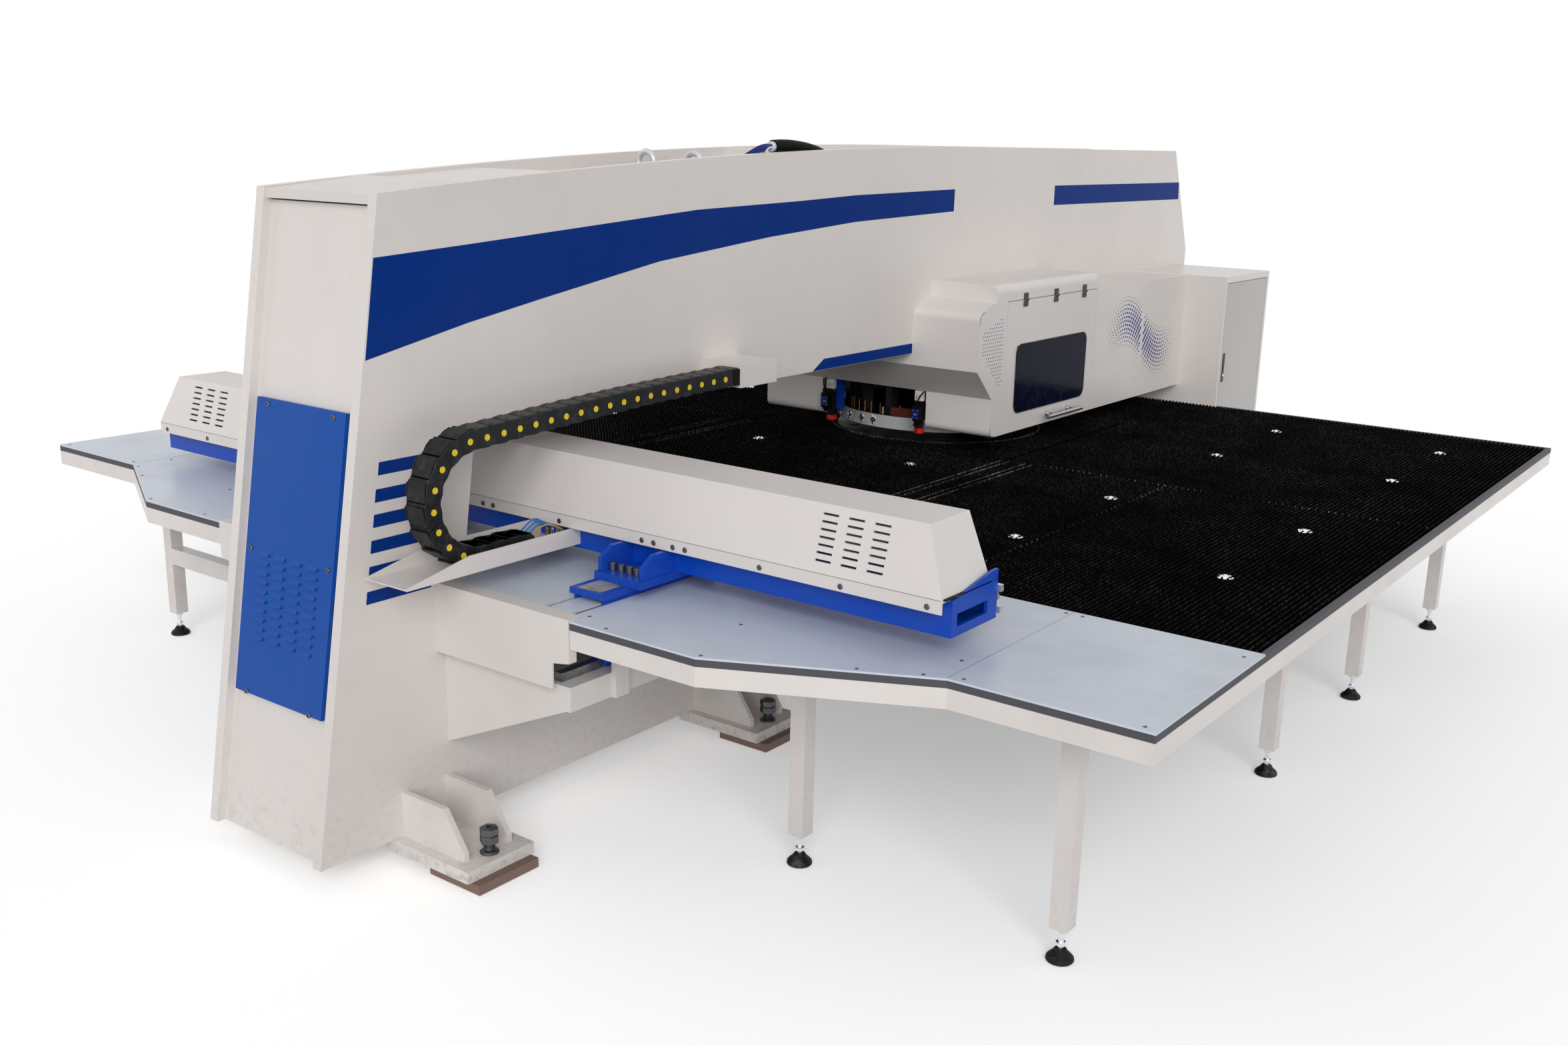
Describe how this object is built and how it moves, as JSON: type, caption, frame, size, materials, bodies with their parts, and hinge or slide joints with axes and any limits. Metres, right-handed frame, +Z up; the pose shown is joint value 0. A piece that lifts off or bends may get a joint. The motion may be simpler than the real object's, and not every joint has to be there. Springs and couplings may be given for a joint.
{
  "type": "turret punch press",
  "caption": "Turret punch press: bridge frame, brush table, travelling beam with clamps, turning turrets, covers with lift-up doors and a cabinet.",
  "frame": {"origin": "middle of the machine on the floor, under the middle of its bounding box", "axes": "+Z up; +Y along the main frame from the parked beam towards the turret; +X across the table to the side that carries the cabinet"},
  "size_m": [5.2, 6.4, 2.34],
  "materials": {
    "black_plastic": "matt",
    "black_rubber": "matt",
    "black_steel": "satin",
    "blue_paint": "satin",
    "blue_plastic": "gloss",
    "brush_bristle": "matt",
    "chrome": "polished",
    "dark_glass": "gloss",
    "grey_paint": "satin",
    "machined_steel": "satin",
    "pale_blue_paint": "satin",
    "rusted_iron": "matt",
    "white_paint": "satin"
  },
  "bodies": {
    "frame": {"side_plate_right": "white_paint", "side_plate_left": "white_paint", "frame_feet": "white_paint", "frame_webs": "white_paint", "levelling_bolts": "black_steel", "foot_pads": "rusted_iron", "top_covers": "white_paint", "lifting_eyes": "black_steel", "top_conduit": "black_plastic", "louvred_panel": "blue_paint", "table_frame_right": "white_paint", "table_frame_left": "white_paint", "table_feet": "black_rubber", "front_sheet_right": "pale_blue_paint", "front_sheet_left": "pale_blue_paint", "front_sheet_centre": "pale_blue_paint", "edge_trim": "black_plastic", "brush_field_right": "brush_bristle", "brush_field_left": "brush_bristle", "brush_field_centre": "brush_bristle", "ball_units": "chrome", "rail_bed_right": "white_paint", "rail_bed_left": "white_paint", "y_rails": "machined_steel", "bed_cover_right": "white_paint", "bed_cover_left": "white_paint", "turret_spindle": "machined_steel", "striker_drive": "grey_paint", "sheet_sensors": "blue_plastic", "turret_cover_right": "white_paint", "turret_cover_left": "white_paint", "cover_hinges": "black_plastic", "front_visor": "white_paint", "cabinet": "white_paint", "chain_upper": "black_plastic", "chain_bracket": "white_paint"},
    "y_carriage": {"x_beam": "blue_paint", "beam_cover": "white_paint", "beam_saddles": "blue_paint", "beam_rails": "machined_steel", "chain_tray": "white_paint", "chain_lower": "black_plastic", "air_tubes": "blue_plastic"},
    "chain_bend": {"chain_bend": "black_plastic"},
    "clamp_carriage": {"clamp_carriage": "machined_steel"},
    "jaw_left": {"clamp_jaw_left": "machined_steel"},
    "jaw_middle": {"clamp_jaw_middle": "machined_steel"},
    "jaw_right": {"clamp_jaw_right": "machined_steel"},
    "upper_turret": {"upper_turret": "machined_steel", "punch_heads": "machined_steel"},
    "lower_turret": {"lower_turret": "machined_steel"},
    "striker": {"striker": "machined_steel"},
    "cover_door_right": {"cover_door_right": "white_paint", "cover_window_right": "dark_glass", "cover_handle_right": "chrome"},
    "cover_door_left": {"cover_door_left": "white_paint", "cover_window_left": "dark_glass", "cover_handle_left": "chrome"},
    "cabinet_door": {"cabinet_door": "white_paint"},
    "cabinet_handle": {"cabinet_handle": "black_plastic"}
  },
  "joints": [
    {"name": "y_travel", "type": "slide", "parent": "frame", "child": "y_carriage", "axis": [0, 1, 0], "range_m": [0, 2.1], "deforming": ["chain_upper", "chain_lower"]},
    {"name": "chain_roll", "type": "slide", "parent": "frame", "child": "chain_bend", "axis": [0, 1, 0], "range_m": [0, 1.05]},
    {"name": "x_travel", "type": "slide", "parent": "y_carriage", "child": "clamp_carriage", "axis": [1, 0, 0], "range_m": [-1.2, 1.2]},
    {"name": "jaw_left_grip", "type": "hinge", "parent": "clamp_carriage", "child": "jaw_left", "pos_m": [-0.5, -1.9, 0.926], "axis": [1, 0, 0], "range_deg": [-4, 9]},
    {"name": "jaw_middle_grip", "type": "hinge", "parent": "clamp_carriage", "child": "jaw_middle", "pos_m": [0, -1.9, 0.926], "axis": [1, 0, 0], "range_deg": [-4, 9]},
    {"name": "jaw_right_grip", "type": "hinge", "parent": "clamp_carriage", "child": "jaw_right", "pos_m": [0.5, -1.9, 0.926], "axis": [1, 0, 0], "range_deg": [-4, 9]},
    {"name": "upper_spin", "type": "hinge", "parent": "frame", "child": "upper_turret", "pos_m": [0, 0.82, 1], "axis": [0, 0, 1], "continuous": true},
    {"name": "lower_spin", "type": "hinge", "parent": "frame", "child": "lower_turret", "pos_m": [0, 0.82, 0.85], "axis": [0, 0, 1], "continuous": true},
    {"name": "strike", "type": "slide", "parent": "frame", "child": "striker", "axis": [0, 0, 1], "range_m": [-0.034, 0]},
    {"name": "cover_lift_right", "type": "hinge", "parent": "frame", "child": "cover_door_right", "pos_m": [0.645, 0.8, 1.594], "axis": [0, -1, 0], "range_deg": [0, 85]},
    {"name": "cover_lift_left", "type": "hinge", "parent": "frame", "child": "cover_door_left", "pos_m": [-0.645, 0.8, 1.594], "axis": [0, 1, 0], "range_deg": [0, 85]},
    {"name": "cabinet_swing", "type": "hinge", "parent": "frame", "child": "cabinet_door", "pos_m": [0.875, 3.039, 0.8], "axis": [0, 0, 1], "range_deg": [0, 110]},
    {"name": "cabinet_latch", "type": "hinge", "parent": "cabinet_door", "child": "cabinet_handle", "pos_m": [0.871, 2.457, 1.164], "axis": [0, -1, 0], "range_deg": [0, 55]}
  ],
  "couplings": [
    {"joint": "chain_roll", "follows": "y_travel", "ratio": 0.5},
    {"joint": "jaw_left_grip", "follows": "jaw_middle_grip", "ratio": 1},
    {"joint": "jaw_right_grip", "follows": "jaw_middle_grip", "ratio": 1},
    {"joint": "upper_spin", "follows": "lower_spin", "ratio": 1}
  ]
}
